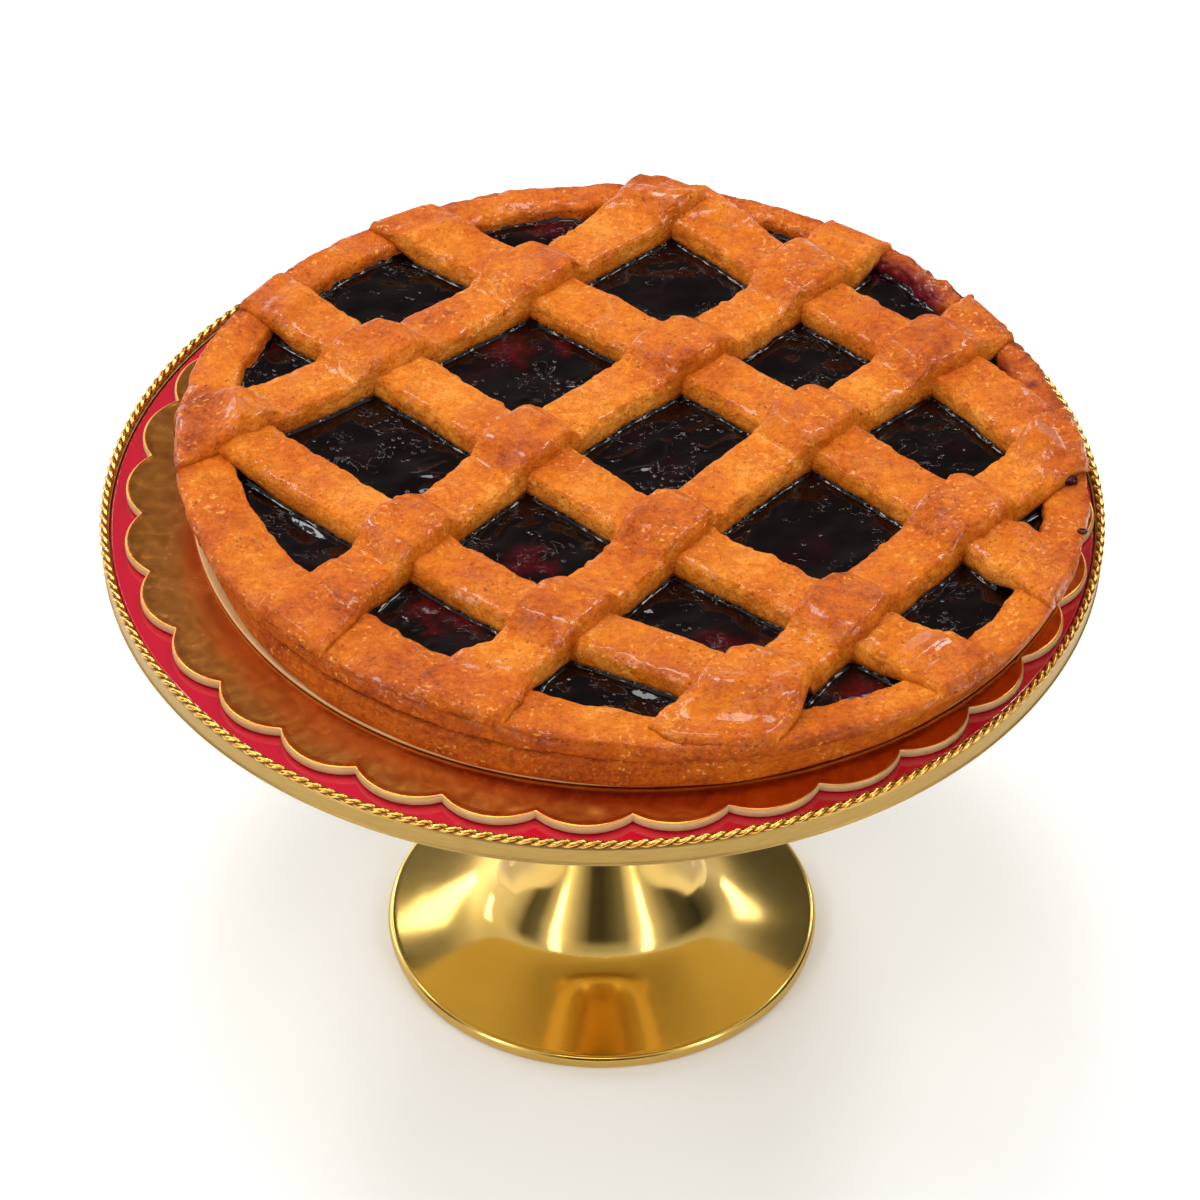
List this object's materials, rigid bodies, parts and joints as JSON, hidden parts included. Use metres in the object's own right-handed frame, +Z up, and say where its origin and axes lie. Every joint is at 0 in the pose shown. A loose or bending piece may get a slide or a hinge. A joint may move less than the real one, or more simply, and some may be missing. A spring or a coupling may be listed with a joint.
{
  "type": "cherry crostata on a footed cake stand",
  "caption": "Round lattice-top tart with dark cherry filling, on gold cards and a gold cake stand with a red enamel top.",
  "frame": {"origin": "centre of the foot's underside, on the surface the stand rests on", "axes": "+Z up through the stem, +Y away from the viewer of the picture, +X to the viewer's right"},
  "size_m": [0.3002, 0.3002, 0.2002],
  "materials": {
    "polished_gold": "mirror-polished gold-coloured metal",
    "band_gold": "brushed, muted gold edge of the plate",
    "red_enamel": "glossy raspberry red enamel",
    "gold_foil": "card with embossed gold foil on top, bare cut edge",
    "baked_crust": "baked shortcrust with an egg glaze, golden to brown",
    "cherry_jam": "near-black dark cherry jam, wet and glossy"
  },
  "bodies": {
    "root": {"stand_foot": "polished_gold", "stand_plate": "band_gold", "rope_ring": "polished_gold", "enamel_disc": "red_enamel", "scalloped_board": "gold_foil", "round_card": "gold_foil", "crust_shell": "baked_crust", "cherry_filling": "cherry_jam", "strip_lower_1": "baked_crust", "strip_lower_2": "baked_crust", "strip_lower_3": "baked_crust", "strip_lower_4": "baked_crust", "strip_upper_1": "baked_crust", "strip_upper_2": "baked_crust", "strip_upper_3": "baked_crust", "strip_upper_4": "baked_crust"}
  },
  "joints": []
}
